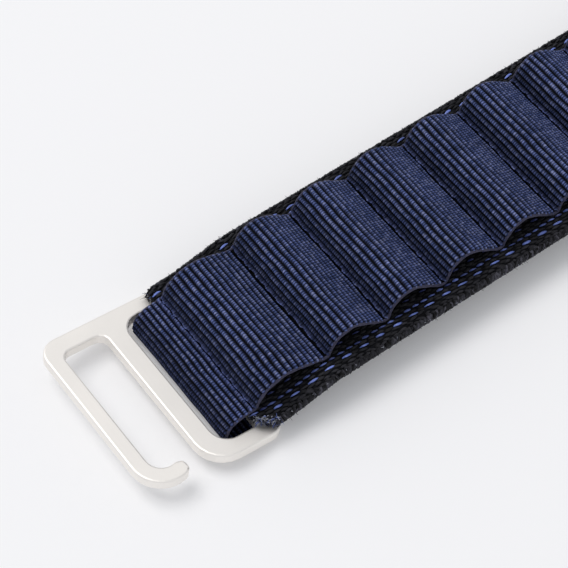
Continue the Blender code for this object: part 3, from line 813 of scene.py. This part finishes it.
def fuzz_edges(b, g):
    """Light fuzz on both long edges."""
    for _ in range(1500):
        side = -1 if g.random() < 0.5 else 1
        x = g.uniform(0.2, WEB_END)
        turn = g.uniform(-1.2, 1.3)
        y = side * (web_half(x, side) - 0.3 + 0.28 * math.cos(turn))
        z = web_low(x) + WEB_THICK / 2 + (WEB_THICK / 2) * math.sin(turn)
        heading = (g.normal(0, 1.0), side * abs(g.normal(0.45, 0.3)), g.normal(0.0, 0.5))
        fibre(b, g, (x, y, z), heading, (0.0, 0.85, 0.15), (0.10, 0.24), (0.015, 0.038), (0.2, 0.3), 0.5)


def build_frays():
    """The cut end's fibres and the long edges' fuzz, as two meshes."""
    cut, fuzz = Bundle(), Bundle()
    g = np.random.default_rng(17)
    fray_cut_end(cut, g)
    fray_corner(cut, g)
    fuzz_edges(fuzz, g)
    mats = [BLUE, GREY, PALE]
    return cut.build("cut_end_fibres", mats), fuzz.build("edge_fuzz", mats)


# ---------------------------------------------------------------- cloth pieces in the frame

ribbon = build_ribbon()
edges = build_ribbon_edges()
webbing = build_webbing()
floats = build_yarns()
cut_ends, fuzz = build_frays()
tacks = build_tacks()

for piece in (ribbon, edges, webbing, floats, fuzz, tacks):
    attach(piece, "strap")
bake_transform(cut_ends)
LOOP_NODES = [f"ribbon_loop_{k:02d}" for k in range(1, LOOPS + 1)]
TACK_NODES = [f"tack_row_{k:02d}" for k in range(LOOPS + 1)]
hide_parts("hook_fold", "connector_fold", *LOOP_NODES)
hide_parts("base_webbing")
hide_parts("hook_tab_stitch", "connector_tab_stitch", *TACK_NODES)

# ---------------------------------------------------------------- metal

METALS = {
    "hook_plate": SATIN, "connector_body": SATIN_DARK, "latch_button": SATIN, "latch_cover": SATIN_DARK,
    "strap_pin": STEEL, "pin_screw_near": STEEL, "pin_screw_far": STEEL,
    "cover_screw_near": STEEL, "cover_screw_far": STEEL,
}


def paint(obj, mat):
    obj.data.materials.clear()
    obj.data.materials.append(mat)


def build_spring(side):
    """A latch spring: a painted copy of the model's own, set in the row frame, which hides the model's
    spring.
    """
    node = NODES[f"latch_spring_{side}"]
    spring = add_object(f"button_spring_{side}", node.data.copy())
    spring.matrix_world = node.matrix_world
    paint(spring, SPRING)
    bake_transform(spring)
    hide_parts(node.name)


for end in ("near", "far"):
    build_spring(end)
for name, mat in METALS.items():
    paint(NODES[name], mat)

# ---------------------------------------------------------------- studio: metres in the row frame

FLOOR_HALF = 2.0
SKY_COLOUR = (0.965, 0.98, 1.01, 1.0)
SKY_STRENGTH = 0.62
KEY_PLACE = (-0.42, 0.72, 1.79)
KEY_SIZE = 1.15
KEY_WATTS = 16.6
KEY_COLOUR = (1.0, 0.98, 0.96)
CAMERA_PLACE = (-72.57, -111.38, 214.28)    # strap millimetres
CAMERA_AIM = (11.04, 2.14, 4.9)             # strap millimetres
CAMERA_LENS = 135.84                        # mm, on a sensor 36 mm wide


def add_floor():
    half = FLOOR_HALF
    mesh = bpy.data.meshes.new("floor")
    corners = [(-half, -half, 0), (half, -half, 0), (half, half, 0), (-half, half, 0)]
    mesh.from_pydata(corners, [], [(0, 1, 2, 3)])
    mesh.materials.append(floor_material())
    add_object("floor", mesh)


def add_sky():
    sky = bpy.data.worlds.new("studio")
    bpy.context.scene.world = sky
    sky.use_nodes = True
    background = sky.node_tree.nodes["Background"]
    background.inputs["Color"].default_value = SKY_COLOUR
    background.inputs["Strength"].default_value = SKY_STRENGTH


def add_aimed(name, data, place, aim):
    """An object in one place that looks at another."""
    obj = add_object(name, data)
    obj.location = place
    obj.rotation_mode = "QUATERNION"
    obj.rotation_quaternion = (Vector(aim) - Vector(place)).to_track_quat("-Z", "Y")
    return obj


def add_key_light():
    data = bpy.data.lights.new("key", "AREA")
    data.shape = "SQUARE"
    data.size = KEY_SIZE
    data.energy = KEY_WATTS
    data.color = KEY_COLOUR
    add_aimed("key", data, KEY_PLACE, (0.0, 0.0, 0.0))


def add_camera():
    data = bpy.data.cameras.new("camera")
    data.sensor_width = 36.0
    data.lens = CAMERA_LENS
    data.clip_start = 0.01
    data.clip_end = 10.0
    place, aim = world((CAMERA_PLACE, CAMERA_AIM))
    bpy.context.scene.camera = add_aimed("camera", data, place, aim)


add_floor()
add_sky()
add_key_light()
add_camera()
bpy.context.scene.view_settings.view_transform = "Standard"
